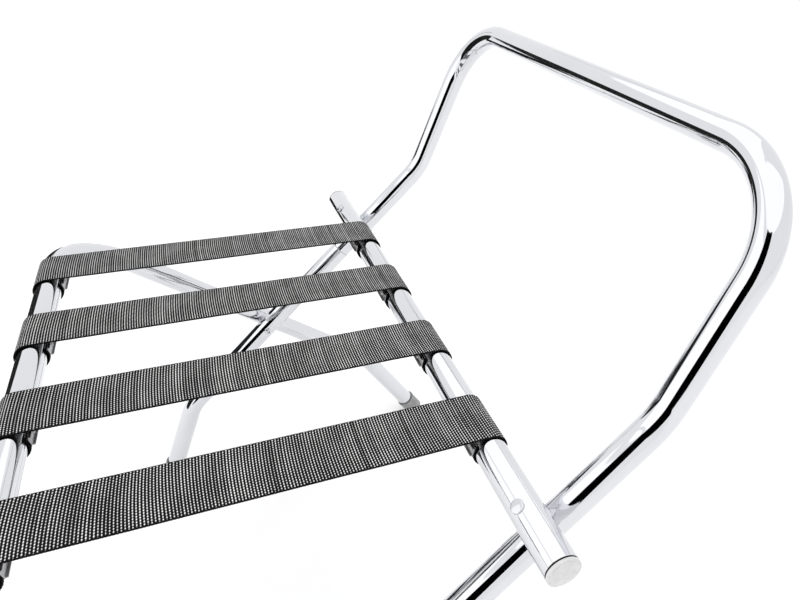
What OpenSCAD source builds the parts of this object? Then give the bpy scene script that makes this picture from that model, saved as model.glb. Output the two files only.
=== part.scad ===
// Folding luggage rack with a back. Two frames of bent tube cross on a pair of riveted pivots:
// the front frame is a U whose top is the front rail, and the back frame carries the rear rail
// on saddles and goes on upwards as a hoop. Four webbing straps join the rails and hold the
// rack open. Each strap end goes once round its rail and is held by a riveted channel.
//
// Millimetres, +Z up. The origin is on the floor, under the middle of the whole outline. +X
// points to the back of the rack, where the hoop is, and +Y to its left side.

/* [Platform] */
// Height of the top of the straps above the floor
platform_h = 432; // [410:1:450]
// Distance between the axes of the front and rear rails
rail_spacing = 350; // [335:1:365]

/* [Tubes] */
// Outside diameter of the frame tubes
leg_d = 25.4; // [24:0.1:26]
// Outside diameter of the rear rail
rail_d = 27; // [26:0.1:29]
// Wall thickness of all tubes
tube_wall = 1.2; // [1:0.1:1.6]

/* [Back frame] */
// Distance between the axes of its two legs
back_w = 536; // [520:1:538]
// Slope of the legs where they pass the rear rail
back_angle = 44.75; // [42:0.25:47]
// Distance from the axis of the rear rail to the axis of a leg below it
rail_offset = 31; // [29:0.5:40]
// Distance up the leg from the rail to the knee
knee_up = 114; // [100:1:120]
// Slope of the hoop above the knee
hoop_angle = 68.5; // [60:0.5:75]
// Distance from the knee to the top bar of the hoop
hoop_len = 198; // [180:1:240]
// Centreline radius of the two top corners of the hoop
hoop_corner_r = 78; // [60:1:90]
// Centreline radius of the knee
knee_r = 80; // [60:1:110]
// Distance down the left leg from the rail to the joint where the hoop plugs in
joint_down_left = 46; // [20:1:60]
// The same distance on the right leg
joint_down_right = 16; // [14:1:60]
// Distance down the leg from the rail to the lower bend
back_bend_down = 369; // [350:1:380]
// Slope of the leg below the lower bend
back_foot_angle = 69.5; // [60:0.5:72]

/* [Front frame] */
// Distance between the axes of its two legs
front_w = 592; // [590:1:610]
// Slope of the legs between the front rail and the lower bend
front_angle = 36.25; // [34:0.25:39]
// Distance down the leg from the front rail to the lower bend
front_bend_down = 469; // [450:1:485]
// Slope of the leg below the lower bend
front_foot_angle = 56; // [50:0.5:62]
// Centreline radius of the two corners between the front rail and the legs
rail_corner_r = 92; // [80:1:94]
// Centreline radius of the lower bend, on both frames
foot_bend_r = 75; // [50:1:90]

/* [Rear rail] */
// Length of the rear rail without its end caps
rail_len = 634; // [620:1:660]
// How far a cap stands out of the end of the rail
cap_out = 5.5; // [4:0.5:8]

/* [Straps] */
// Width of the webbing
strap_w = 54; // [48:1:58]
// Thickness of the webbing
strap_t = 1.6; // [1.4:0.1:2]
// Distance between neighbouring straps, centre to centre
strap_pitch = 120; // [110:1:125]
// How far the set of straps sits from the middle of the rails, along +Y
strap_shift = 2; // [-8:1:2]

/* [Clamps] */
// Where a clamp sits round its rail, above the horizontal on the inner side
clamp_angle = 14; // [0:1:20]
// Width of the clamp channel
clamp_w = 8; // [8:0.5:12]
// Height of the clamp channel
clamp_h = 2.6; // [2.6:0.1:4]
// Thickness of its sheet metal
clamp_t = 1; // [0.8:0.1:1.2]
// How much longer than the strap is wide a clamp is
clamp_over = 0; // [0:0.5:6]
// Diameter of the clamp rivets
clamp_rivet_d = 3.5; // [3:0.5:4]

/* [Rivets and saddles] */
// Diameter of the pivot rivets
pivot_d = 8; // [7:0.5:9]
// Diameter of their heads
pivot_head_d = 12; // [11:0.5:14]
// Diameter of the rivets that hold the rear rail
rail_rivet_d = 6; // [5:0.5:8]
// Diameter of their heads
rail_head_d = 11.5; // [9:0.5:12]
// Diameter of the saddles between two tubes
saddle_d = 20; // [16:0.5:22]

/* [Feet] */
// Length of a foot ferrule
foot_len = 30; // [24:1:40]
// Wall thickness of a foot ferrule
foot_wall = 1.6; // [1.2:0.1:2]
// How far the floor cuts into the rim of a ferrule, which gives it its flat
foot_flat = 2; // [1:0.5:3]

/* [Hidden] */
$fn = 96;

// Clearance between parts that move past each other, and round a pin in its hole
gap = 0.3;
pin_gap = 0.05;
// A length that reaches past whatever it cuts
past = 60;
collar_half = 0.2;
collar_rise = 0.02;

leg_r = leg_d / 2;
rail_r = rail_d / 2;
saddle_r = saddle_d / 2;
foot_r = leg_r + foot_wall + pin_gap;
foot_base = 5;
foot_bead = 0.4;
foot_bevel = 1.5;

// How far the rack reaches forwards and back from the middle of the platform, and where that
// puts the middle of the platform
front_reach = rail_spacing / 2 + leg_r + gap + strap_t;
back_reach = rail_spacing / 2 + rail_offset * sin(back_angle) + knee_up * cos(back_angle)
    + hoop_len * cos(hoop_angle) + leg_r;
platform_x = (front_reach - back_reach) / 2;

// The straps pass the tops of both rails at one height, so the two axes differ by the radii
strap_under = platform_h - strap_t;
front_axis = [platform_x - rail_spacing / 2, 0, strap_under - gap - leg_r];
rear_axis = [platform_x + rail_spacing / 2, 0, strap_under - gap - rail_r];

// Side view directions and points of the back frame
function along(a) = [cos(a), 0, sin(a)];
function across(a) = [-sin(a), 0, cos(a)];
function foot_h(a) = foot_r * cos(a) - foot_flat;
function foot_point(bend, a, lean) =
    bend - lean * (bend[2] - foot_h(a)) / sin(a) * [cos(a), 0, lean * sin(a)];

back_pass = rear_axis - rail_offset * across(back_angle);
knee = back_pass + knee_up * along(back_angle);
hoop_top = knee + hoop_len * along(hoop_angle);
back_bend = back_pass - back_bend_down * along(back_angle);
back_foot = foot_point(back_bend, back_foot_angle, 1);

front_bend = front_axis + front_bend_down * along(-front_angle);
front_foot = foot_point(front_bend, front_foot_angle, -1);

// The pivot is where the straight parts of the two legs cross in side view
pivot_t = ((back_pass[0] - front_axis[0]) * sin(front_angle) + (back_pass[2] - front_axis[2])
    * cos(front_angle)) / sin(back_angle + front_angle);
pivot = back_pass - pivot_t * along(back_angle);

back_y = back_w / 2;
front_y = front_w / 2;

// A point on the axis of one back leg, up from the joint where the hoop plugs in
function joint(side, up) = at_y(
    back_pass + (up - (side > 0 ? joint_down_left : joint_down_right)) * along(back_angle),
    side * back_y
);
middle_y = (back_y + front_y) / 2;

spigot_len = 32;
spigot_gap = 0.1;
joint_groove = 0.5;

cap_flange = 2.6;
cap_groove = 1;
cap_step = 0.5;
cap_plug = 14;

rivet_head_h = 2.4;
clamp_head_h = 1.2;
clamp_head_d = clamp_w - 2 * clamp_t - 2 * gap;
clamp_seat = strap_t + 2 * gap;
clamp_rivet_y = strap_w / 2 - 12;
clamp_len = strap_w + clamp_over;

chrome_grey = [0.82, 0.83, 0.85];
zinc_grey = [0.5, 0.51, 0.53];
webbing_grey = [0.2, 0.2, 0.21];
ferrule_grey = [0.62, 0.63, 0.65];

SIDES = [[1, "left"], [-1, "right"]];

// ---- Bent tube ----

function unit(v) = v / norm(v);
function step(p, i) = unit(p[i + 1] - p[i]);
function turn(p, i) = acos(step(p, i - 1) * step(p, i));
// Straight tube that the bend at corner i takes up on each side of the corner
function trim(p, bends, i) =
    i == 0 || i == len(p) - 1 ? 0 : bends[i] * tan(turn(p, i) / 2);

// Puts its children at o, with their axes along x, y and z
module place(o, x, y, z) {
    multmatrix([
        [x[0], y[0], z[0], o[0]],
        [x[1], y[1], z[1], o[1]],
        [x[2], y[2], z[2], o[2]],
        [0, 0, 0, 1]
    ])
        children();
}

// A round bar of radius r from a to b
module bar(a, b, r) {
    z = unit(b - a);
    x = abs(z[1]) > 0.5 ? [1, 0, 0] : [0, 1, 0];
    place(a, x, cross(z, x), z)
        cylinder(h = norm(b - a), r = r);
}

// A round bar of radius r along the points p, with bends[i] the centreline radius at corner i.
// A collar a hair wider than the bar, at each end of a bend, makes one solid of the whole run.
module bent_bar(p, bends, r) {
    last = len(p) - 1;
    for (i = [0:last - 1])
        bar(p[i] + trim(p, bends, i) * step(p, i), p[i + 1] - trim(p, bends, i + 1) * step(p, i), r);
    for (i = [1:last - 1]) {
        d = step(p, i - 1);
        n = unit(cross(d, step(p, i)));
        e = cross(d, n);
        from = p[i] - trim(p, bends, i) * d;
        to = p[i] + trim(p, bends, i) * step(p, i);
        place(from - bends[i] * e, e, d, n)
            rotate_extrude(angle = turn(p, i))
                translate([bends[i], 0])
                    circle(r = r);
        bar(from - collar_half * d, from + collar_half * d, r + collar_rise);
        bar(to - collar_half * step(p, i), to + collar_half * step(p, i), r + collar_rise);
    }
}

// The point p moved to y
function at_y(p, y) = [p[0], y, p[2]];

// The part of a sphere that stands h high over a base of diameter d
module dome(d, h) {
    ball = (d * d / 4 + h * h) / (2 * h);
    intersection() {
        translate([0, 0, h - ball])
            sphere(r = ball);
        cylinder(h = h + 1, r = d);
    }
}

// ---- Frames ----

front_path = [
    at_y(front_foot, -front_y), at_y(front_bend, -front_y), at_y(front_axis, -front_y),
    at_y(front_axis, front_y), at_y(front_bend, front_y), at_y(front_foot, front_y)
];
front_bends = [0, foot_bend_r, rail_corner_r, rail_corner_r, foot_bend_r, 0];
hoop_bends = [0, knee_r, hoop_corner_r, hoop_corner_r, knee_r, 0];

// The tube stops short of the closed end of its ferrule
function tube_end(foot, a, lean) = foot + foot_base * [lean * cos(a), 0, sin(a)];

// The hoop's centreline, with its ends that far up from the joints
function hoop_path(up) = [
    joint(-1, up), at_y(knee, -back_y), at_y(hoop_top, -back_y),
    at_y(hoop_top, back_y), at_y(knee, back_y), joint(1, up)
];

function with_ends(p, a, b) = [for (i = [0:len(p) - 1]) i == 0 ? a : i == len(p) - 1 ? b : p[i]];

// A hole along Y at the pivot, through everything near side y
module pivot_hole(y, d) {
    translate([pivot[0], y - past / 2, pivot[2]])
        rotate([-90, 0, 0])
            cylinder(h = past, d = d);
}

// Places its children on the axis of a rail rivet, with the rail's axis at z = 0
module rail_rivet_axis(y) {
    translate(at_y(rear_axis, y))
        rotate([0, -back_angle, 0])
            children();
}

// Places its children with +Z pointing out of the rail axis o at angle a in side view
module round_rail(o, a) {
    translate(o)
        rotate([0, 90 - a, 0])
            children();
}

function clamp_out(rear) = rear ? 180 - clamp_angle : clamp_angle;
function strap_y(i) = strap_shift + (2.5 - i) * strap_pitch;

// Holes for the rivets of the four clamps on one rail
module clamp_rivet_holes(rear, d, h) {
    for (i = [1:4], s = [-1, 1])
        round_rail(at_y(rear ? rear_axis : front_axis, strap_y(i) + s * clamp_rivet_y), clamp_out(rear))
            cylinder(h = h, d = d);
}

module front_frame_tube() {
    end_r = tube_end(front_path[0], front_foot_angle, -1);
    end_l = tube_end(front_path[5], front_foot_angle, -1);
    color(chrome_grey)
        difference() {
            bent_bar(with_ends(front_path, end_r, end_l), front_bends, leg_r);
            bent_bar(front_path, front_bends, leg_r - tube_wall);
            for (s = SIDES)
                pivot_hole(s[0] * front_y, pivot_d + 2 * pin_gap);
            clamp_rivet_holes(false, clamp_rivet_d + 2 * pin_gap, past);
        }
}

// The hoop's two ends are drawn in to spigots, which plug into the legs
module back_hoop_tube() {
    shoulder = joint_groove / 2;
    spigot_r = leg_r - tube_wall - spigot_gap;
    color(chrome_grey)
        difference() {
            union() {
                bent_bar(hoop_path(shoulder), hoop_bends, leg_r);
                for (s = SIDES)
                    bar(joint(s[0], -spigot_len), joint(s[0], shoulder + tube_wall / 2), spigot_r);
            }
            bent_bar(hoop_path(shoulder + tube_wall), hoop_bends, leg_r - tube_wall);
            for (s = SIDES) {
                bar(joint(s[0], -spigot_len - 1), joint(s[0], shoulder + 2 * tube_wall),
                    spigot_r - tube_wall);
                rail_rivet_axis(s[0] * back_y)
                    translate([0, 0, -past])
                        cylinder(h = past, d = rail_rivet_d + 2 * pin_gap);
            }
        }
}

module back_leg(side) {
    y = side * back_y;
    top = joint(side, -joint_groove / 2);
    bend = at_y(back_bend, y);
    foot = at_y(back_foot, y);
    color(chrome_grey)
        difference() {
            bent_bar([tube_end(foot, back_foot_angle, 1), bend, top], [0, foot_bend_r, 0], leg_r);
            bent_bar([foot, bend, top + along(back_angle)], [0, foot_bend_r, 0], leg_r - tube_wall);
            pivot_hole(y, pivot_d + 2 * pin_gap);
        }
}

// ---- Rear rail ----

module rear_rail_tube() {
    a = at_y(rear_axis, -rail_len / 2);
    b = at_y(rear_axis, rail_len / 2);
    color(chrome_grey)
        difference() {
            bar(a, b, rail_r);
            bar(a - [0, 1, 0], b + [0, 1, 0], rail_r - tube_wall);
            for (s = SIDES)
                rail_rivet_axis(s[0] * back_y)
                    translate([0, 0, -past / 2])
                        cylinder(h = past, d = rail_rivet_d + 2 * pin_gap);
            clamp_rivet_holes(true, clamp_rivet_d + 2 * pin_gap, past);
        }
}

// A plug with a groove, a stepped rim and a domed face
module rear_rail_cap(side) {
    plug_r = rail_r - tube_wall - pin_gap;
    color(zinc_grey)
        translate(at_y(rear_axis, side * rail_len / 2))
            rotate([-90 * side, 0, 0]) {
                translate([0, 0, -cap_plug])
                    cylinder(h = cap_plug + cap_groove, r = plug_r);
                translate([0, 0, cap_groove])
                    cylinder(h = cap_flange, r = rail_r - cap_step / 2);
                translate([0, 0, cap_groove + cap_flange])
                    dome(rail_d - 3 * cap_step, cap_out - cap_groove - cap_flange);
            }
}

// A spacer with both ends hollowed to sit on the rail and on the leg
module rail_saddle(side) {
    y = side * back_y;
    color(chrome_grey)
        difference() {
            rail_rivet_axis(y)
                translate([0, 0, -rail_offset])
                    cylinder(h = rail_offset, r = saddle_r);
            bar(at_y(rear_axis, y - past), at_y(rear_axis, y + past), rail_r + pin_gap);
            bar(at_y(back_pass - past * along(back_angle), y), at_y(back_pass + past * along(back_angle), y),
                leg_r + pin_gap);
            rail_rivet_axis(y)
                translate([0, 0, -past])
                    cylinder(h = past, d = rail_rivet_d + 2 * pin_gap);
        }
}

// A rivet through the rail, the saddle and the leg, with its heads shaped to the two tubes
module rail_rivet(side) {
    y = side * back_y;
    sink = 1.6;
    color(chrome_grey)
        difference() {
            rail_rivet_axis(y) {
                translate([0, 0, -rail_offset - leg_r])
                    cylinder(h = rail_offset + leg_r + rail_r, d = rail_rivet_d);
                translate([0, 0, rail_r - sink])
                    dome(rail_head_d, rivet_head_h + sink);
                translate([0, 0, -rail_offset - leg_r + sink])
                    rotate([180, 0, 0])
                        dome(rail_head_d, rivet_head_h + sink);
            }
            rivet_seats(y);
        }
}

// What the tubes take out of the heads of a rail rivet, all but its shank
module rivet_seats(y) {
    difference() {
        union() {
            bar(at_y(rear_axis, y - past), at_y(rear_axis, y + past), rail_r + pin_gap);
            bar(at_y(back_pass - past * along(back_angle), y), at_y(back_pass + past * along(back_angle), y),
                leg_r + pin_gap);
        }
        rail_rivet_axis(y)
            translate([0, 0, -past])
                cylinder(h = 2 * past, d = rail_rivet_d);
    }
}

// ---- Pivots ----

// Places its children on the pivot of one side, with +Z pointing away from the middle
module pivot_axis(side) {
    translate([pivot[0], 0, pivot[2]])
        rotate([-90 * side, 0, 0])
            children();
}

// A rivet with a hollow inner head, shaped to the back leg, and a flat-seated outer head
module pivot_rivet(side) {
    sink = 1.6;
    inner = back_y - leg_r;
    outer = front_y + leg_r + gap;
    hollow_d = 4.4;
    hollow_depth = 4;
    color(chrome_grey)
        difference() {
            pivot_axis(side) {
                translate([0, 0, inner])
                    cylinder(h = outer - inner, d = pivot_d);
                translate([0, 0, inner + sink])
                    rotate([180, 0, 0])
                        dome(pivot_head_d, rivet_head_h + sink);
                translate([0, 0, outer])
                    dome(pivot_head_d, rivet_head_h);
            }
            difference() {
                bar(at_y(pivot - past * along(back_angle), side * back_y),
                    at_y(pivot + past * along(back_angle), side * back_y), leg_r + pin_gap);
                pivot_axis(side)
                    cylinder(h = front_y, d = pivot_d);
            }
            pivot_axis(side)
                translate([0, 0, inner - past])
                    cylinder(h = past + hollow_depth - rivet_head_h, d = hollow_d);
        }
}

// A washer with one end hollowed to sit on a leg of slope a, and the other end flat
module pivot_saddle(side, y, a) {
    from = y < middle_y ? y : middle_y + gap / 2;
    to = y < middle_y ? middle_y - gap / 2 : y;
    color(chrome_grey)
        difference() {
            pivot_axis(side)
                translate([0, 0, from])
                    cylinder(h = to - from, r = saddle_r);
            bar(at_y(pivot - past * along(a), side * y), at_y(pivot + past * along(a), side * y),
                leg_r + pin_gap);
            pivot_axis(side)
                cylinder(h = 2 * front_y, d = pivot_d + 2 * pin_gap);
        }
}

// ---- Straps and clamps ----

// The side view of a strap's turn round a rail, centred on the rail axis: it leaves the top
// towards -X and goes round the +X side and the bottom, to end above the clamp
module wrap_profile(r, end_angle) {
    reach = 2 * r;
    difference() {
        circle(r = r + strap_t);
        circle(r = r);
        polygon([[0, 0], [0, reach], [-reach, reach], [-reach, reach * tan(end_angle)]]);
    }
}

module strap(i) {
    // The end of the webbing comes just past the channel
    end_angle = clamp_angle + 20;
    color(webbing_grey)
        difference() {
            translate([0, strap_y(i) + strap_w / 2, 0])
                rotate([90, 0, 0])
                    linear_extrude(height = strap_w) {
                        translate([rear_axis[0], rear_axis[2]])
                            wrap_profile(rail_r + gap, end_angle);
                        translate([front_axis[0], front_axis[2]])
                            mirror([1, 0])
                                wrap_profile(leg_r + gap, end_angle);
                        translate([front_axis[0], strap_under])
                            square([rail_spacing, strap_t]);
                    }
            for (rear = [false, true], s = [-1, 1])
                round_rail(at_y(rear ? rear_axis : front_axis, strap_y(i) + s * clamp_rivet_y),
                        clamp_out(rear))
                    cylinder(h = 2 * rail_r, d = clamp_rivet_d + 2 * gap);
        }
}

// A pressed channel along the rail, open away from it, over the end of a strap
module clamp(i, rear) {
    seat = (rear ? rail_r : leg_r) + clamp_seat;
    color(zinc_grey)
        round_rail(at_y(rear ? rear_axis : front_axis, strap_y(i)), clamp_out(rear))
            difference() {
                translate([-clamp_w / 2, -clamp_len / 2, seat])
                    cube([clamp_w, clamp_len, clamp_h]);
                translate([clamp_t - clamp_w / 2, -clamp_len, seat + clamp_t])
                    cube([clamp_w - 2 * clamp_t, 2 * clamp_len, clamp_h]);
                for (s = [-1, 1])
                    translate([0, s * clamp_rivet_y, 0])
                        cylinder(h = past, d = clamp_rivet_d + 2 * pin_gap);
            }
}

// The two rivets of each clamp on one rail, headed inside the channel and in the tube's wall
module clamp_rivets(rear) {
    r = rear ? rail_r : leg_r;
    seat = r + clamp_seat + clamp_t;
    tail = 3;
    color(zinc_grey)
        for (i = [1:4], s = [-1, 1])
            round_rail(at_y(rear ? rear_axis : front_axis, strap_y(i) + s * clamp_rivet_y), clamp_out(rear)) {
                translate([0, 0, r - tube_wall - tail])
                    cylinder(h = seat - r + tube_wall + tail, d = clamp_rivet_d);
                translate([0, 0, seat])
                    dome(clamp_head_d, clamp_head_h);
            }
}

// ---- Feet ----

// A ferrule on the end of a leg of slope a, at its end point, with a flat where it stands
module foot(end, a, lean) {
    r = foot_r;
    bore = leg_r + pin_gap;
    color(ferrule_grey)
        intersection() {
            translate(end)
                rotate([0, lean * (90 - a), 0])
                    rotate_extrude()
                        polygon([
                            [0, 0], [r - foot_bevel, 0], [r, foot_bevel], [r, foot_len - 3],
                            [r + foot_bead, foot_len - 2], [r + foot_bead, foot_len - 0.6],
                            [r, foot_len], [bore, foot_len], [bore, foot_base], [0, foot_base]
                        ]);
            translate([end[0] - past, end[1] - past, 0])
                cube(2 * past);
        }
}

front_frame_tube();
back_hoop_tube();
rear_rail_tube();
clamp_rivets(true);  // rear_clamp_rivets
clamp_rivets(false);  // front_clamp_rivets

for (s = SIDES) {
    back_leg(s[0]);
    rear_rail_cap(s[0]);
    rail_saddle(s[0]);
    rail_rivet(s[0]);
    pivot_rivet(s[0]);
    pivot_saddle(s[0], back_y, back_angle);
    pivot_saddle(s[0], front_y, -front_angle);
    foot(at_y(back_foot, s[0] * back_y), back_foot_angle, 1);
    foot(at_y(front_foot, s[0] * front_y), front_foot_angle, -1);
}

for (i = [1:4]) {
    strap(i);
    clamp(i, true);
    clamp(i, false);
}
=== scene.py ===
import math

import bpy
import numpy as np
from mathutils import Matrix, Vector


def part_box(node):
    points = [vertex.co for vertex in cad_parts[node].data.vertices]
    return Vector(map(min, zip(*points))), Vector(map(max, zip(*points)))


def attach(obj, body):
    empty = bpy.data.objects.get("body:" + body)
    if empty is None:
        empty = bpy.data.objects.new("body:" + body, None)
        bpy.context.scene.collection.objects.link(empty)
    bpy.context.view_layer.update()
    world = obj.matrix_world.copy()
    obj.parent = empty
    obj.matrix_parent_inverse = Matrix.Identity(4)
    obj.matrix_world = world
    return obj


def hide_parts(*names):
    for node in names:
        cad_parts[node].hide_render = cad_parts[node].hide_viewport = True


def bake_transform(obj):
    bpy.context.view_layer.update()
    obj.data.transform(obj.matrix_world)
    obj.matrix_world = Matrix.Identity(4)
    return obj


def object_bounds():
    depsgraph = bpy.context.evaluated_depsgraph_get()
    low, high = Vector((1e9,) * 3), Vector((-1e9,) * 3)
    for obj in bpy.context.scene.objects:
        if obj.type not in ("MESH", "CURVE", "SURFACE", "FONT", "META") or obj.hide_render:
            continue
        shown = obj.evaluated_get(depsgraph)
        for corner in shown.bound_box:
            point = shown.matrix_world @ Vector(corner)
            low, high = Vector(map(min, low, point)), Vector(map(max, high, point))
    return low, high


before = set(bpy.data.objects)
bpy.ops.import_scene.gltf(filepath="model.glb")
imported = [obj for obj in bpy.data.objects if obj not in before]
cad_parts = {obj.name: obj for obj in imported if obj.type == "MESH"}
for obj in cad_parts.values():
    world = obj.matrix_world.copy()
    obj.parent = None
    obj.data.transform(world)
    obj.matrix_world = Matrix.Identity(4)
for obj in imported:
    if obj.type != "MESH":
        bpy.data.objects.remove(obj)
cad_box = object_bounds()

# A folding luggage rack: chromed tube frames, four webbing straps, channel clamps and ferrules.
# Metres, +Z up, +X to the back of the rack and +Y to its left side, as in the CAD model.

MM = 0.001
SIDES = (("left", 1), ("right", -1))

# ---- Sizes from the frame ----

rail_low, rail_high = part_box("rear_rail_tube")
front_low, front_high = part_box("front_frame_tube")
RAIL_R = (rail_high.z - rail_low.z) / 2
RAIL_END = rail_high.y
REAR_AXIS = Vector(((rail_low.x + rail_high.x) / 2, 0, (rail_low.z + rail_high.z) / 2))

LEG_R = 12.7 * MM
TUBE_WALL = 1.2 * MM
FRONT_AXIS = Vector((front_low.x + LEG_R, 0, front_high.z - LEG_R))
FRONT_Y = front_high.y - LEG_R
BACK_Y = sum(c.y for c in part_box("back_leg_left")) / 2
MIDDLE = (cad_box[0] + cad_box[1]) / 2

# ---- Driving sizes of the bent tubes ----

BACK_ANGLE = math.radians(44.75)
RAIL_OFFSET = 31 * MM
KNEE_UP = 114 * MM
KNEE_R = 80 * MM
HOOP_ANGLE = math.radians(68.5)
HOOP_LEN = 198 * MM
HOOP_CORNER_R = 78 * MM
JOINT_DOWN = {1: 46 * MM, -1: 16 * MM}
BACK_BEND_DOWN = 369 * MM
BACK_FOOT_ANGLE = math.radians(69.5)
FRONT_ANGLE = math.radians(36.25)
FRONT_BEND_DOWN = 469 * MM
FRONT_FOOT_ANGLE = math.radians(56)
RAIL_CORNER_R = 92 * MM
FOOT_BEND_R = 75 * MM
SPIGOT_LEN = 32 * MM
JOINT_GROOVE = 0.5 * MM
EDGE_R = 0.35 * MM
BEND_FLATTENING = 0.03

# ---- Feet and caps ----

FOOT_R = LEG_R + 1.65 * MM
FOOT_LEN = 30 * MM
FOOT_BASE = 5 * MM
FOOT_FLAT = 2 * MM
CAP_OUT = 5.5 * MM
CAP_GROOVE = 1.0 * MM

# ---- Rivets through the rear rail, in millimetres ----

RIVET_D = 6
RIVET_HEAD_D = 11.5

# ---- Straps and clamps ----

STRAP_W = 54 * MM
STRAP_T = 1.6 * MM
STRAP_GAP = 0.3 * MM
CLAMP_ANGLE = math.radians(14)
CLAMP_W = 8 * MM
CLAMP_H = 2.6 * MM
CLAMP_T = 1.0 * MM
CLAMP_LEN = 54 * MM
CLAMP_SEAT = STRAP_T + 2 * STRAP_GAP
# A strap's end is tucked in behind its clamp by this much, round the rail.
STRAP_TUCK = math.radians(20)
RIB_PITCH = 2.23 * MM
BEAD_PITCH = 2.45 * MM


# ---- Geometry helpers ----

def slope(angle):
    """The direction that rises at this angle towards +X."""
    return Vector((math.cos(angle), 0, math.sin(angle)))


def at_y(point, y):
    return Vector((point.x, y, point.z))


def fillet(points, radii, step):
    """The line through points with its corners rounded, as points about step radians apart."""
    line = [points[0]]
    for before, corner, after, radius in zip(points, points[1:], points[2:], radii):
        arrive, leave = (corner - before).normalized(), (after - corner).normalized()
        turn = arrive.angle(leave)
        if radius == 0 or turn < 1e-6:
            line.append(corner)
            continue
        inward = (leave - arrive * arrive.dot(leave)).normalized()
        start = corner - arrive * radius * math.tan(turn / 2)
        centre = start + inward * radius
        count = max(2, math.ceil(turn / step))
        for i in range(count + 1):
            a = turn * i / count
            line.append(centre - inward * radius * math.cos(a) + arrive * radius * math.sin(a))
    return line + [points[-1]]


def build(name, vertices, faces, material, smooth_under=40):
    """An object with a smooth-shaded mesh, sharp where its faces meet at more than an angle."""
    mesh = bpy.data.meshes.new(name)
    mesh.from_pydata([tuple(v) for v in vertices], [], [tuple(map(int, f)) for f in faces])
    mesh.update()
    mesh.shade_smooth()
    mesh.set_sharp_from_angle(angle=math.radians(smooth_under))
    mesh.materials.append(material)
    piece = bpy.data.objects.new(name, mesh)
    bpy.context.scene.collection.objects.link(piece)
    return piece


def grid(rows, columns, close_rows=False, close_columns=False):
    """The quads between rows of vertices, each row columns long, as an array of corners."""
    i = np.arange(rows if close_rows else rows - 1)[:, None]
    j = np.arange(columns if close_columns else columns - 1)[None, :]
    i1, j1 = (i + 1) % rows, (j + 1) % columns
    corners = (i * columns + j, i * columns + j1, i1 * columns + j1, i1 * columns + j)
    return np.stack([c.ravel() for c in corners], axis=1)


class TubePath:
    """The centreline of a bent tube: stations along it, with a frame that doesn't twist."""

    BEND_STEP = math.radians(2)

    def __init__(self, corners, radii):
        line = [np.array(p) for p in fillet(corners, radii, self.BEND_STEP)]
        self.points = np.array(line)
        gaps = np.linalg.norm(np.diff(self.points, axis=0), axis=1)
        self.along = np.concatenate([[0], np.cumsum(gaps)])
        steps = np.diff(self.points, axis=0) / gaps[:, None]
        turn = steps[1:] - steps[:-1]
        self.tangents = np.vstack([steps[:1], steps[1:] + steps[:-1], steps[-1:]])
        self.tangents /= np.linalg.norm(self.tangents, axis=1)[:, None]
        self.inward = np.vstack([np.zeros(3), turn, np.zeros(3)])
        sizes = np.linalg.norm(self.inward, axis=1)
        bent = sizes > 1e-6
        self.inward[bent] /= sizes[bent][:, None]
        self.inward[~bent] = 0
        self.flattening = self._ramp(bent)
        self.normals = self._carry()

    def _ramp(self, bent):
        """From 0 at the ends of each bend to 1 over most of it."""
        share = np.zeros(len(bent))
        start = None
        for i, is_bent in enumerate(list(bent) + [False]):
            if is_bent and start is None:
                start = i
            if not is_bent and start is not None:
                t = np.linspace(0, 1, i - start)
                share[start:i] = np.sqrt(np.clip(np.sin(math.pi * t), 0, 1))
                start = None
        return share

    def _carry(self):
        normal = Vector(self.tangents[0]).orthogonal().normalized()
        normals = [normal]
        for a, b in zip(self.tangents, self.tangents[1:]):
            normal = Vector(a).rotation_difference(Vector(b)) @ normal
            normals.append(normal)
        return np.array(normals)

    @property
    def length(self):
        return self.along[-1]

    def at(self, distance):
        """The point, direction, normal, inward direction and flattening at a distance along."""
        last = len(self.along) - 2
        i = int(np.clip(np.searchsorted(self.along, distance, side="right") - 1, 0, last))
        t = (distance - self.along[i]) / (self.along[i + 1] - self.along[i])
        if t < 1e-9:
            return (
                self.points[i], self.tangents[i], self.normals[i],
                self.inward[i], self.flattening[i],
            )
        direction = self.points[i + 1] - self.points[i]
        direction = direction / np.linalg.norm(direction)
        point = self.points[i] + t * (self.points[i + 1] - self.points[i])
        return point, direction, self.normals[i + 1], np.zeros(3), 0.0


def sweep(name, path, wall, material, segments=72):
    """A closed skin round a path. wall lists (distance along, radius), outside then inside."""
    rings = []
    for (s0, r0), (s1, r1) in zip(wall, wall[1:] + wall[:1]):
        low, high = sorted((s0, s1))
        inner = [s for s in path.along if low + 1e-5 < s < high - 1e-5]
        for s in [s0] + (inner if s1 > s0 else inner[::-1]):
            rings.append((s, r0 if s1 == s0 else r0 + (r1 - r0) * (s - s0) / (s1 - s0)))
    around = np.linspace(0, 2 * math.pi, segments, endpoint=False)
    vertices = []
    for s, radius in rings:
        point, tangent, normal, inward, amount = path.at(s)
        side = np.cross(tangent, normal)
        ring = np.outer(np.cos(around), normal) + np.outer(np.sin(around), side)
        squeeze = BEND_FLATTENING * amount
        widen = np.cross(tangent, inward)
        ring = (
            ring - squeeze * np.outer(ring @ inward, inward)
            + squeeze / 2 * np.outer(ring @ widen, widen)
        )
        vertices.append(point + radius * ring)
    faces = grid(len(rings), segments, close_rows=True, close_columns=True)
    return build(name, np.vstack(vertices), faces, material)


def lip(at, radius, direction):
    """A rounded outer edge on the end of a wall; direction is where the end faces, 1 or -1."""
    edge = [(at, radius - EDGE_R)]
    for a in (30, 60):
        a = math.radians(a)
        edge.append((
            at - direction * EDGE_R * (1 - math.cos(a)),
            radius - EDGE_R * (1 - math.sin(a)),
        ))
    edge.append((at - direction * EDGE_R, radius))
    return edge


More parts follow.
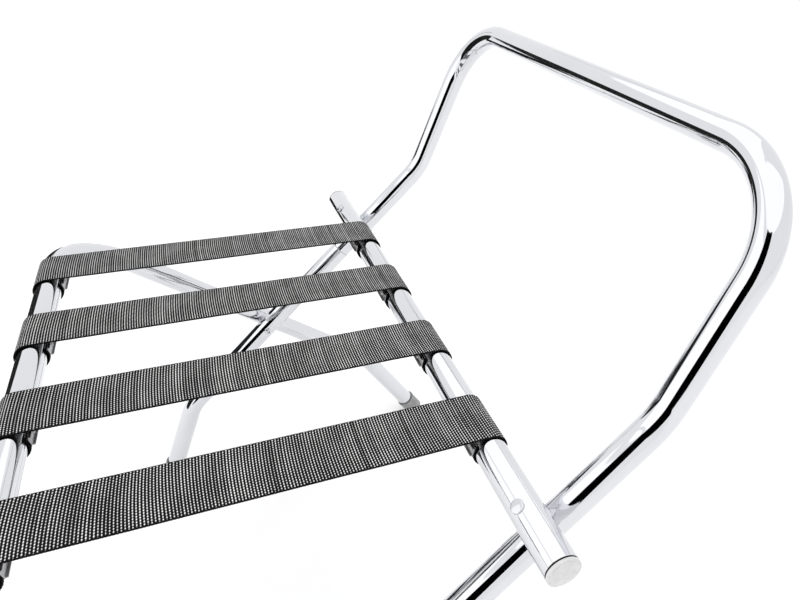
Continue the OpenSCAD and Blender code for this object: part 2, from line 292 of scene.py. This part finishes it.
def open_tube(start, end, radius):
    """The wall of a tube that is open at both ends."""
    bore = radius - TUBE_WALL
    outside = lip(start, radius, -1) + lip(end, radius, 1)[::-1]
    return outside + [(end, bore), (start, bore)]


def lathe(name, outline, origin, axis, material, segments=96, smooth_under=40):
    """A solid of revolution. outline lists (radius, height along the axis), pole to pole."""
    axis = axis.normalized()
    x = axis.orthogonal().normalized()
    y = axis.cross(x)
    vertices, rings = [], []
    for radius, height in outline:
        count = segments if radius > 1e-7 else 1
        rings.append((len(vertices), count))
        for i in range(count):
            a = 2 * math.pi * i / segments
            out = (x * math.cos(a) + y * math.sin(a)) * radius
            vertices.append(origin + axis * height + out)
    faces = []
    for (a, n), (b, m) in zip(rings, rings[1:]):
        for i in range(segments):
            j = (i + 1) % segments
            if n == 1:
                faces.append((a, b + j, b + i))
            elif m == 1:
                faces.append((a + i, a + j, b))
            else:
                faces.append((a + i, a + j, b + j, b + i))
    return build(name, vertices, faces, material, smooth_under)


def rounded_outline(points, radii):
    """An outline for lathe() in millimetres, with its corners rounded."""
    flat = [Vector((r * MM, 0, h * MM)) for r, h in points]
    return [(p.x, p.z) for p in fillet(flat, [r * MM for r in radii], math.radians(22.5))]


def finish_piece(piece, body, slot, *nodes):
    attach(piece, body)
    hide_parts(*nodes)
    return piece


# ---- Materials ----

class Shader:
    """A Principled material and short calls for the nodes that feed it."""

    def __init__(self, name, colour, roughness, metallic=0.0):
        self.material = bpy.data.materials.new(name)
        self.material.use_nodes = True
        self.nodes = self.material.node_tree.nodes
        self.links = self.material.node_tree.links
        self.bsdf = next(n for n in self.nodes if n.type == "BSDF_PRINCIPLED")
        self.set("Base Color", (*colour, 1))
        self.set("Roughness", roughness)
        self.set("Metallic", metallic)
        self.place = self.nodes.new("ShaderNodeTexCoord").outputs["Object"]

    def set(self, socket, value):
        self.bsdf.inputs[socket].default_value = value

    def feed(self, output, socket):
        self.links.new(output, self.bsdf.inputs[socket])

    def noise(self, scale, detail=2.0, stretch=None, place=None, rough=0.5):
        """Noise from 0 to 1, scale features to the metre, drawn out by stretch."""
        source = place or self.place
        if stretch:
            mapping = self.nodes.new("ShaderNodeMapping")
            mapping.inputs["Scale"].default_value = stretch
            self.links.new(source, mapping.inputs["Vector"])
            source = mapping.outputs["Vector"]
        texture = self.nodes.new("ShaderNodeTexNoise")
        texture.inputs["Scale"].default_value = scale
        texture.inputs["Detail"].default_value = detail
        texture.inputs["Roughness"].default_value = rough
        self.links.new(source, texture.inputs["Vector"])
        return texture.outputs["Fac"]

    def attribute(self, name):
        node = self.nodes.new("ShaderNodeAttribute")
        node.attribute_name = name
        return node.outputs["Fac"]

    def vector(self, *names):
        """A place made from the mesh's own attributes."""
        node = self.nodes.new("ShaderNodeCombineXYZ")
        for name, socket in zip(names, node.inputs):
            self.links.new(self.attribute(name), socket)
        return node.outputs["Vector"]

    def ranged(self, value, low, high, to_low=0.0, to_high=1.0):
        node = self.nodes.new("ShaderNodeMapRange")
        node.interpolation_type = "SMOOTHSTEP"
        self.links.new(value, node.inputs["Value"])
        for socket, number in zip(
            ("From Min", "From Max", "To Min", "To Max"), (low, high, to_low, to_high)
        ):
            node.inputs[socket].default_value = number
        return node.outputs["Result"]

    def math(self, operation, a, b):
        node = self.nodes.new("ShaderNodeMath")
        node.operation = operation
        for value, socket in zip((a, b), node.inputs):
            if isinstance(value, (int, float)):
                socket.default_value = value
            else:
                self.links.new(value, socket)
        return node.outputs["Value"]

    def ramp(self, value, *stops):
        """Colours along a value; each stop is (position, colour)."""
        node = self.nodes.new("ShaderNodeValToRGB")
        elements = node.color_ramp.elements
        while len(elements) < len(stops):
            elements.new(0.5)
        for element, (position, colour) in zip(elements, stops):
            element.position = position
            element.color = (*colour, 1)
        self.links.new(value, node.inputs["Fac"])
        return node.outputs["Color"]

    def bump(self, height, distance, strength=1.0):
        node = self.nodes.new("ShaderNodeBump")
        node.inputs["Distance"].default_value = distance
        node.inputs["Strength"].default_value = strength
        self.links.new(height, node.inputs["Height"])
        self.feed(node.outputs["Normal"], "Normal")


def grey(value, tint=0.0):
    """A grey, a little blue where tint is above 0."""
    return (value * (1 - tint), value * (1 - 0.8 * tint), value)


def chrome(name, brightness, roughness, waviness):
    """Bright plating: a hazy bloom here and there, and a faint unevenness under it."""
    shader = Shader(name, grey(brightness, 0.05), roughness, metallic=1.0)
    haze = shader.noise(22, detail=5, rough=0.6)
    shader.feed(shader.ranged(haze, 0.35, 0.75, roughness, roughness * 2.2), "Roughness")
    tone = shader.noise(9, detail=3)
    shader.feed(
        shader.ramp(tone, (0.3, grey(brightness * 0.95, 0.055)), (0.7, grey(brightness, 0.045))),
        "Base Color",
    )
    shader.bump(shader.noise(28, detail=1.5), waviness)
    return shader.material


def brushed_steel(name):
    """Zinc-plated sheet with fine scratches along the rail and dull patches."""
    shader = Shader(name, grey(0.4), 0.4, metallic=1.0)
    scratches = shader.noise(900, detail=3, stretch=(1, 0.05, 1))
    patches = shader.noise(60, detail=4)
    shader.feed(
        shader.ramp(patches, (0.3, grey(0.3, 0.02)), (0.7, grey(0.55, 0.02))), "Base Color"
    )
    shader.feed(shader.ranged(scratches, 0.3, 0.7, 0.28, 0.5), "Roughness")
    shader.bump(scratches, 0.00003)
    return shader.material


def moulded_plastic(name, dark, light, roughness):
    """Moulded plastic: fine pebbling, faint mottling and handling marks."""
    shader = Shader(name, grey(light), roughness)
    mottle = shader.noise(140, detail=5, rough=0.6)
    shader.feed(shader.ramp(mottle, (0.3, grey(dark)), (0.72, grey(light))), "Base Color")
    marks = shader.noise(45, detail=4)
    shader.feed(shader.ranged(marks, 0.3, 0.7, roughness * 0.8, roughness * 1.25), "Roughness")
    shader.bump(shader.noise(1500, detail=2), 0.00002)
    return shader.material


def webbing_material():
    """Charcoal webbing: pale beads on the ribs as painted highlight, dark between as painted shade, with
    yarn along each bead.
    """
    shader = Shader("charcoal_webbing", grey(0.06), 0.6)
    along_yarn = shader.vector("strap_across", "strap_along")
    yarn = shader.noise(2600, detail=2, stretch=(1, 0.25, 1), place=along_yarn)
    fade = shader.noise(40, detail=3, place=along_yarn)
    height = shader.attribute("painted_rib_light")
    yarn_and_painted_rib_light = shader.math("MULTIPLY_ADD", yarn, 0.3)
    shader.links.new(height, yarn_and_painted_rib_light.node.inputs[2])
    worn = shader.math("ADD", yarn_and_painted_rib_light, shader.ranged(fade, 0.3, 0.7, -0.16, -0.1))
    # The ramp on worn paints the crests pale and the grooves near-black: painted highlight on the beads
    # and painted shade between the ribs; the yarn and fade noise are the webbing's own uneven tone.
    shader.feed(
        shader.ramp(
            worn,
            (0.3, grey(0.0)),
            (0.5, grey(0.01)),
            (0.62, grey(0.3)),
            (0.8, grey(0.85)),
        ),
        "Base Color",
    )
    shader.feed(shader.ranged(worn, 0.2, 0.9, 0.8, 0.5), "Roughness")
    shader.set("Specular IOR Level", 0.15)
    shader.bump(yarn, 0.00012, 0.8)
    return shader.material


CHROME = chrome("chrome_tube", 0.74, 0.035, 0.00006)
CHROME_SMALL = chrome("chrome_hardware", 0.7, 0.09, 0.00003)
CLAMP_STEEL = brushed_steel("zinc_steel")
CAP_PLASTIC = moulded_plastic("grey_cap", 0.56, 0.66, 0.22)
# Near-black, as painted shade in the cap's groove.
PLUG_PAINTED_SHADE = moulded_plastic("plug_painted_shade", 0.004, 0.01, 0.7)
FOOT_PLASTIC = moulded_plastic("grey_ferrule", 0.2, 0.3, 0.5)
WEBBING = webbing_material()

# ---- Centrelines of the frames ----

back_up = slope(BACK_ANGLE)
back_pass = REAR_AXIS - RAIL_OFFSET * Vector((-math.sin(BACK_ANGLE), 0, math.cos(BACK_ANGLE)))
knee = back_pass + KNEE_UP * back_up
hoop_top = knee + HOOP_LEN * slope(HOOP_ANGLE)
back_bend = back_pass - BACK_BEND_DOWN * back_up
front_bend = FRONT_AXIS + FRONT_BEND_DOWN * slope(-FRONT_ANGLE)


def foot_end(bend, angle, lean):
    """Where the axis of a ferrule meets the bottom of its closed end."""
    height = FOOT_R * math.cos(angle) - FOOT_FLAT
    down = Vector((-lean * math.cos(angle), 0, -math.sin(angle)))
    return bend + down * ((bend.z - height) / math.sin(angle))


back_foot = foot_end(back_bend, BACK_FOOT_ANGLE, 1)
front_foot = foot_end(front_bend, FRONT_FOOT_ANGLE, -1)


def joint(sign, up):
    """A point on the axis of a back leg, up from the joint where the hoop plugs in."""
    return at_y(back_pass + (up - JOINT_DOWN[sign]) * back_up, sign * BACK_Y)


# ---- Frames ----

def make_front_frame():
    corners = [
        at_y(front_foot, -FRONT_Y), at_y(front_bend, -FRONT_Y), at_y(FRONT_AXIS, -FRONT_Y),
        at_y(FRONT_AXIS, FRONT_Y), at_y(front_bend, FRONT_Y), at_y(front_foot, FRONT_Y),
    ]
    path = TubePath(corners, [FOOT_BEND_R, RAIL_CORNER_R, RAIL_CORNER_R, FOOT_BEND_R])
    wall = open_tube(FOOT_BASE, path.length - FOOT_BASE, LEG_R)
    tube = sweep("front_frame_bent_tube", path, wall, CHROME)
    finish_piece(tube, "front_frame", "chrome_tube", "front_frame_tube")


def make_hoop():
    """The hoop, with both ends drawn in to spigots that plug into the legs."""
    corners = [
        joint(-1, -SPIGOT_LEN), at_y(knee, -BACK_Y), at_y(hoop_top, -BACK_Y),
        at_y(hoop_top, BACK_Y), at_y(knee, BACK_Y), joint(1, -SPIGOT_LEN),
    ]
    path = TubePath(corners, [KNEE_R, HOOP_CORNER_R, HOOP_CORNER_R, KNEE_R])
    spigot_r = LEG_R - TUBE_WALL - 0.1 * MM
    shoulder = SPIGOT_LEN + JOINT_GROOVE / 2
    far = path.length
    outside = (
        [(0, spigot_r), (shoulder, spigot_r)]
        + lip(shoulder, LEG_R, -1)
        + lip(far - shoulder, LEG_R, 1)[::-1]
        + [(far - shoulder, spigot_r), (far, spigot_r)]
    )
    inside = [(far, spigot_r - TUBE_WALL), (0, spigot_r - TUBE_WALL)]
    tube = sweep("back_hoop_bent_tube", path, outside + inside, CHROME)
    finish_piece(tube, "back_frame", "chrome_tube", "back_hoop_tube")


def make_back_legs():
    for side, sign in SIDES:
        y = sign * BACK_Y
        top = joint(sign, -JOINT_GROOVE / 2)
        path = TubePath([at_y(back_foot, y), at_y(back_bend, y), top], [FOOT_BEND_R])
        wall = open_tube(FOOT_BASE, path.length, LEG_R)
        tube = sweep(f"back_leg_{side}_bent_tube", path, wall, CHROME)
        finish_piece(tube, "back_frame", "chrome_tube", f"back_leg_{side}")


def make_rear_rail():
    path = TubePath([at_y(REAR_AXIS, -RAIL_END), at_y(REAR_AXIS, RAIL_END)], [])
    tube = sweep("rear_rail_round_tube", path, open_tube(0, path.length, RAIL_R), CHROME)
    finish_piece(tube, "back_frame", "chrome_tube", "rear_rail_tube")
    rail = RAIL_R / MM
    plug = rail - TUBE_WALL / MM - 0.05
    outline = [
        (0, -14), (plug, -14), (plug, 1.0), (rail - 0.25, 1.0), (rail - 0.25, 3.6),
        (rail - 1.6, 3.6), (rail - 2.0, 4.3), (rail - 5.5, 5.2), (0, CAP_OUT / MM),
    ]
    radii = [1.0, 0.1, 0.3, 0.4, 0.2, 0.3, 6.0]
    for side, sign in SIDES:
        cap = lathe(
            f"rear_rail_end_cap_{side}", rounded_outline(outline, radii),
            at_y(REAR_AXIS, sign * RAIL_END), Vector((0, sign, 0)), CAP_PLASTIC,
        )
        # The plug's faces inside the groove take the near-black material: painted shade in the gap
        # between the rail's end and the cap.
        cap.data.materials.append(PLUG_PAINTED_SHADE)
        for face in cap.data.polygons:
            if abs(face.center.y) < RAIL_END + CAP_GROOVE + 0.1 * MM:
                face.material_index = 1
        finish_piece(cap, "back_frame", "cap_plastic", f"rear_rail_cap_{side}")


def make_rail_rivets():
    """Rivets through the rail, the saddle and the leg, with low flat heads."""
    rail, leg_side = RAIL_R / MM - 0.2, (RAIL_OFFSET + LEG_R) / MM - 0.2
    shank, head = RIVET_D / 2, RIVET_HEAD_D / 2
    outline = [
        (0, -leg_side - 2.0), (head - 0.4, -leg_side - 1.5), (head, -leg_side), (shank, -leg_side),
        (shank, rail), (head, rail), (head - 0.4, rail + 1.5), (0, rail + 2.0),
    ]
    radii = [0.5, 0.15, 0.3, 0.3, 0.15, 0.5]
    for side, sign in SIDES:
        rivet = lathe(
            f"rear_rail_rivet_{side}", rounded_outline(outline, radii),
            at_y(REAR_AXIS, sign * BACK_Y),
            Vector((-math.sin(BACK_ANGLE), 0, math.cos(BACK_ANGLE))), CHROME_SMALL,
        )
        finish_piece(rivet, "back_frame", "chrome_hardware", f"rail_rivet_{side}")


def make_feet():
    """Ferrules with a bead at the mouth; the floor has pressed a flat into each rim."""
    foot, leg = FOOT_R / MM, LEG_R / MM + 0.05
    length, base = FOOT_LEN / MM, FOOT_BASE / MM
    outline = [
        (0, 0), (foot, 0), (foot, length - 3), (foot + 0.4, length - 2.2),
        (foot + 0.4, length), (leg, length), (leg, base), (0, base),
    ]
    radii = [1.8, 0.6, 0.4, 0.4, 0.3, 0.5]
    for end, angle, lean, body, y in (
        (back_foot, BACK_FOOT_ANGLE, 1, "back_frame", BACK_Y),
        (front_foot, FRONT_FOOT_ANGLE, -1, "front_frame", FRONT_Y),
    ):
        up = Vector((lean * math.cos(angle), 0, math.sin(angle)))
        for side, sign in SIDES:
            node = f"{body.split('_')[0]}_foot_{side}"
            ferrule = lathe(
                f"{node}_ferrule", rounded_outline(outline, radii),
                at_y(end, sign * y), up, FOOT_PLASTIC,
            )
            for vertex in ferrule.data.vertices:
                vertex.co.z = max(vertex.co.z, 0.0)
            finish_piece(ferrule, body, "foot_plastic", node)


# ---- Clamps ----

def round_rail(axis, y, angle, out, tangent, along):
    """A point beside a rail: out from its axis at angle, and tangent and along from there."""
    outward = Vector((math.cos(angle), 0, math.sin(angle)))
    round_it = Vector((-math.sin(angle), 0, math.cos(angle)))
    return at_y(axis, y + along) + outward * out + round_it * tangent


def clamp_section():
    """The channel's bent sheet as pairs of points, (tangent, out) outside and inside."""
    half, bend, edge = CLAMP_W / 2 - CLAMP_T / 2, 1.0 * MM, 0.2 * MM
    middle = fillet(
        [
            Vector((-half, 0, CLAMP_H)), Vector((-half, 0, CLAMP_T / 2)),
            Vector((half, 0, CLAMP_T / 2)), Vector((half, 0, CLAMP_H)),
        ],
        [bend, bend], math.radians(15),
    )
    pairs = []
    for i, point in enumerate(middle):
        before, after = middle[max(i - 1, 0)], middle[min(i + 1, len(middle) - 1)]
        tangent = (after - before).normalized()
        normal = Vector((tangent.z, 0, -tangent.x))
        pairs.append((point + normal * CLAMP_T / 2, point - normal * CLAMP_T / 2))
    for end, step in ((0, 1), (-1, -1)):
        a, b = pairs[end]
        down = Vector((0, 0, -edge))
        worn = ((a + down, b + down), (a.lerp(b, 0.15), b.lerp(a, 0.15)))
        pairs[end] = worn[0]
        pairs.insert(0 if step == 1 else len(pairs), worn[1])
    return pairs


def make_clamps():
    pairs = clamp_section()
    loop = [a for a, b in pairs] + [b for a, b in reversed(pairs)]
    count = len(loop)
    edge = 0.2 * MM
    stations = ((-1, 0, 0.85), (-1, edge, 1.0), (1, edge, 1.0), (1, 0, 0.85))
    for rail, axis, radius, angle in (
        ("rear", REAR_AXIS, RAIL_R, math.pi - CLAMP_ANGLE),
        ("front", FRONT_AXIS, LEG_R, CLAMP_ANGLE),
    ):
        for i in range(1, 5):
            low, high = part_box(f"{rail}_clamp_{i}")
            y = (low.y + high.y) / 2
            vertices = []
            for sign, inset, share in stations:
                for k, point in enumerate(loop):
                    other = loop[count - 1 - k]
                    worn = point.lerp(other, (1 - share) / 2)
                    vertices.append(round_rail(
                        axis, y, angle, radius + CLAMP_SEAT + worn.z, worn.x,
                        sign * (CLAMP_LEN / 2 - inset),
                    ))
            faces = [tuple(f) for f in grid(len(stations), count, close_columns=True)]
            last = (len(stations) - 1) * count
            for k in range(count // 2 - 1):
                a, b = k, count - 1 - k
                faces.append((a, b, b - 1, a + 1))
                faces.append((last + a, last + a + 1, last + b - 1, last + b))
            channel = build(f"{rail}_strap_channel_{i}", vertices, faces, CLAMP_STEEL, 35)
            body = "back_frame" if rail == "rear" else "front_frame"
            finish_piece(channel, body, "clamp_steel", f"{rail}_clamp_{i}")


# ---- Straps ----

def strap_centreline(rows):
    """The strap's middle line in side view, at rows places: distance, points and normals."""
    tuck = CLAMP_ANGLE + STRAP_TUCK
    half = STRAP_GAP + STRAP_T / 2
    front_r, rear_r = LEG_R + half, RAIL_R + half
    wrap = 1.5 * math.pi + tuck
    spans = (wrap * front_r, REAR_AXIS.x - FRONT_AXIS.x, wrap * rear_r)
    total = sum(spans)
    distance = np.linspace(0, total, rows)
    points, normals = np.zeros((rows, 3)), np.zeros((rows, 3))
    for row, s in enumerate(distance):
        if s < spans[0]:
            a = tuck - s / front_r
            centre, radius = FRONT_AXIS, front_r
        elif s <= spans[0] + spans[1]:
            points[row] = (FRONT_AXIS.x + s - spans[0], 0, FRONT_AXIS.z + front_r)
            normals[row] = (0, 0, 1)
            continue
        else:
            a = math.pi / 2 - (s - spans[0] - spans[1]) / rear_r
            centre, radius = REAR_AXIS, rear_r
        normals[row] = (math.cos(a), 0, math.sin(a))
        points[row] = np.array(centre) + radius * normals[row]
    return distance, points, normals, total


def strap_across():
    """Round the strap's section: place across, side (1 top, -1 under) and share of rib."""
    half, edge = STRAP_W / 2, 0.8 * MM
    top = np.linspace(-(half - edge), half - edge, 4 * round(STRAP_W / BEAD_PITCH) + 1)
    under = np.linspace(half - edge, -(half - edge), 8)
    turn = np.radians([54, 18, -18, -54])
    section = [(v, 1.0, 0.0) for v in top]
    section += [(half - edge + edge * math.cos(a), math.sin(a), 0.0) for a in turn]
    section += [(v, -1.0, 0.0) for v in under]
    section += [(-(half - edge + edge * math.cos(a)), math.sin(a), 0.0) for a in turn[::-1]]
    return np.array(section)


def make_strap(number):
    """A length of ribbed webbing. Each rib is a row of beads, where the yarn comes to the top."""
    random = np.random.default_rng(number)
    low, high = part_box(f"strap_{number}")
    y = (low.y + high.y) / 2
    total = strap_centreline(2)[3]
    ribs = round(total / RIB_PITCH)
    per_rib = 4
    rows = ribs * per_rib + 1
    distance, points, normals, _ = strap_centreline(rows)
    section = strap_across()
    across, side = section[:, 0], section[:, 1]
    phase = np.arange(rows) / per_rib
    rib = np.floor(phase + 0.5).astype(int)

    # A rib bows forwards at the edges of the strap, and wanders a little
    wander = np.interp(distance, np.linspace(0, total, 13), random.normal(0, 0.35, 13)) * MM
    lean = np.interp(distance, np.linspace(0, total, 9), random.normal(0, 0.4, 9)) * MM
    v = across / (STRAP_W / 2)
    clamped = np.clip(np.minimum(distance, total - distance) / (20 * MM), 0, 1)[:, None]
    shift = clamped * (0.8 * MM * v[None, :] ** 2 + lean[:, None] * v[None, :])

    strength = 1 + 0.05 * random.normal(size=ribs + 2)[rib]
    stagger = rib * 0.62 + random.normal(0, 0.08, ribs + 2)[rib]
    crest = 0.5 + 0.5 * np.cos(2 * math.pi * phase)
    bead = 0.5 + 0.5 * np.cos(2 * math.pi * (across[None, :] / BEAD_PITCH + stagger[:, None]))
    selvedge = np.clip((STRAP_W / 2 - np.abs(across)) / (1.6 * MM), 0, 1)
    bead = 1 - (1 - bead) * 0.5 * selvedge[None, :]
    ridge = (crest * strength)[:, None] * np.where(side[None, :] > 0, bead, 0.8)
    depth = 0.5 * MM * (0.35 + 0.65 * selvedge[None, :])
    half_t = STRAP_T / 2
    lift = side[None, :] * half_t - np.sign(side)[None, :] * depth * (1 - np.clip(ridge, 0, 1.05))

    # The heat-sealed ends taper a little
    sealed = np.clip(np.minimum(distance, total - distance) / (1.5 * MM), 0, 1)
    lift = lift * (0.55 + 0.45 * sealed)[:, None]

    places = distance[:, None] + shift
    centre = np.stack(
        [np.interp(places, distance, points[:, k]) for k in (0, 2)], axis=-1
    )
    facing = np.stack(
        [np.interp(places, distance, normals[:, k]) for k in (0, 2)], axis=-1
    )
    vertices = np.zeros((rows, len(section), 3))
    vertices[..., 0] = centre[..., 0] + facing[..., 0] * lift
    vertices[..., 2] = centre[..., 1] + facing[..., 1] * lift
    vertices[..., 1] = y + across[None, :] + wander[:, None] * 0.3
    columns = len(section)
    faces = [tuple(f) for f in grid(rows, columns, close_columns=True)]
    faces.append(tuple(range(columns)))
    faces.append(tuple(range(rows * columns - 1, (rows - 1) * columns - 1, -1)))
    strap = build(f"webbing_strap_{number}", vertices.reshape(-1, 3), faces, WEBBING, 180)
    # This attribute holds the crest height, made smaller towards the strap's edges; the webbing's colour
    # ramp turns it into painted highlight on the crests and painted shade in the grooves and along the
    # edges.
    for name, values in (
        ("painted_rib_light", np.clip(ridge, 0, 1.2) * (0.25 + 0.75 * selvedge[None, :])),
        ("strap_along", np.repeat(distance[:, None], columns, axis=1)),
        ("strap_across", np.repeat(across[None, :], rows, axis=0)),
    ):
        attribute = strap.data.attributes.new(name, "FLOAT", "POINT")
        attribute.data.foreach_set("value", values.astype(np.float32).ravel())
    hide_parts(f"strap_{number}")
    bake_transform(strap)


# ---- The CAD pieces that stay ----

def dress_hardware():
    """Saddles and rivets keep their CAD shape and get their finish."""
    for name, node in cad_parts.items():
        if "clamp_rivets" in name:
            finish = CLAMP_STEEL
        elif "saddle" in name or "rivet" in name:
            finish = CHROME_SMALL
        else:
            continue
        node.data.materials.clear()
        node.data.materials.append(finish)


# ---- Studio ----

def direction(azimuth, elevation):
    """The way out from the rack, with azimuth turned from +X towards +Y, in degrees."""
    a, e = math.radians(azimuth), math.radians(elevation)
    return Vector((math.cos(a) * math.cos(e), math.sin(a) * math.cos(e), math.sin(e)))


# The room's light and the softboxes' light, as emission strengths, and the softboxes' distance in metres.
ROOM_LIGHT = 1.08
SOFTBOX_LIGHT = 1.45
SOFTBOX_AWAY = 4.0
PANEL_STEPS = 24
FLOOR_HALF = 6.0

# The camera's lens in millimetres, its shift, its azimuth, elevation and roll, and its place.
CAMERA_LENS = 28.64
CAMERA_SHIFT = (-0.0630, -0.0217)
CAMERA_TURN = (-23.77, 30.61, 3.64)
CAMERA_AT = (-0.0997, -0.5297, 0.7924)


def panel(name, azimuths, elevations, distance, light, slant=0.0):
    """Part of a sphere round the rack, never seen itself; one brighter than 1 also lights dull surfaces.

    Its upper edge is turned slant degrees round from its lower edge. A light of 0 makes it black.
    """
    material = bpy.data.materials.new(name)
    material.use_nodes = True
    nodes, links = material.node_tree.nodes, material.node_tree.links
    nodes.clear()
    glow = nodes.new("ShaderNodeEmission")
    glow.inputs["Strength"].default_value = light
    links.new(glow.outputs[0], nodes.new("ShaderNodeOutputMaterial").inputs["Surface"])
    count = PANEL_STEPS
    vertices = [
        MIDDLE + distance * direction(
            azimuths[0] + (azimuths[1] - azimuths[0]) * j / count + slant * i / count,
            elevations[0] + (elevations[1] - elevations[0]) * i / count,
        )
        for i in range(count + 1) for j in range(count + 1)
    ]
    card = build(name, vertices, grid(count + 1, count + 1), material)
    card.visible_camera = False
    card.visible_shadow = False
    card.visible_diffuse = light > 1


def flag(name, corners):
    """A black card, seen only in reflections."""
    material = bpy.data.materials.new(name)
    material.use_nodes = True
    black = material.node_tree.nodes["Principled BSDF"]
    black.inputs["Base Color"].default_value = (0, 0, 0, 1)
    black.inputs["Roughness"].default_value = 1.0
    card = build(name, corners, [range(len(corners))], material)
    card.visible_camera = False
    card.visible_shadow = False
    card.visible_diffuse = False


def make_studio():
    scene = bpy.context.scene
    scene.view_settings.view_transform = "Standard"
    world = bpy.data.worlds.new("studio")
    world.use_nodes = True
    world.node_tree.nodes["Background"].inputs["Color"].default_value = (1, 1, 1, 1)
    world.node_tree.nodes["Background"].inputs["Strength"].default_value = ROOM_LIGHT
    scene.world = world
    panel("softbox_above", (20, 340), (42, 88), SOFTBOX_AWAY, SOFTBOX_LIGHT)
    panel("softbox_left", (146, 204), (-3, 36), SOFTBOX_AWAY, SOFTBOX_LIGHT)
    panel("flag_camera", (206, 244), (-10, 44), 3.9, 0.0)
    flag("flag_front", [
        (-0.55, 0.15, 0.10), (-0.55, 0.15, 0.42), (-0.55, 0.6, 0.6), (-0.55, 1.1, 0.70),
        (-0.55, 1.7, 0.70), (-0.55, 1.7, 0.10),
    ])
    flag("flag_left", [(-0.45, 1.3, 0.0), (0.02, 1.3, 0.0), (0.02, 1.3, 0.22), (-0.45, 1.3, 0.22)])
    panel("strip_back_left", (67, 68.5), (31, 44), 3.6, 0.12, slant=-15)
    panel("strip_far_left", (105, 106.5), (-4, 21), 3.6, 0.1)

    shader = Shader("pale_floor", grey(0.94), 0.9)
    half = FLOOR_HALF
    floor = build(
        "floor", [(-half, -half, 0), (half, -half, 0), (half, half, 0), (-half, half, 0)],
        [(0, 1, 2, 3)], shader.material,
    )


def make_camera():
    """Above the front right of the rack, looking back and down across it."""
    data = bpy.data.cameras.new("camera")
    data.sensor_width = 36
    data.lens = CAMERA_LENS
    data.shift_x, data.shift_y = CAMERA_SHIFT
    camera = bpy.data.objects.new("camera", data)
    bpy.context.scene.collection.objects.link(camera)
    azimuth, elevation, roll = (math.radians(a) for a in CAMERA_TURN)
    back = Vector((
        math.sin(azimuth) * math.cos(elevation), -math.cos(azimuth) * math.cos(elevation),
        math.sin(elevation),
    ))
    level = Vector((0, 0, 1)).cross(back).normalized()
    right = Matrix.Rotation(roll, 3, back) @ level
    up = back.cross(right)
    camera.matrix_world = Matrix.Translation(CAMERA_AT) @ Matrix(
        (right, up, back)
    ).transposed().to_4x4()
    bpy.context.scene.camera = camera


make_camera()
make_front_frame()
make_hoop()
make_back_legs()
make_rear_rail()
make_rail_rivets()
make_feet()
make_clamps()
for strap_number in range(1, 5):
    make_strap(strap_number)
dress_hardware()
make_studio()
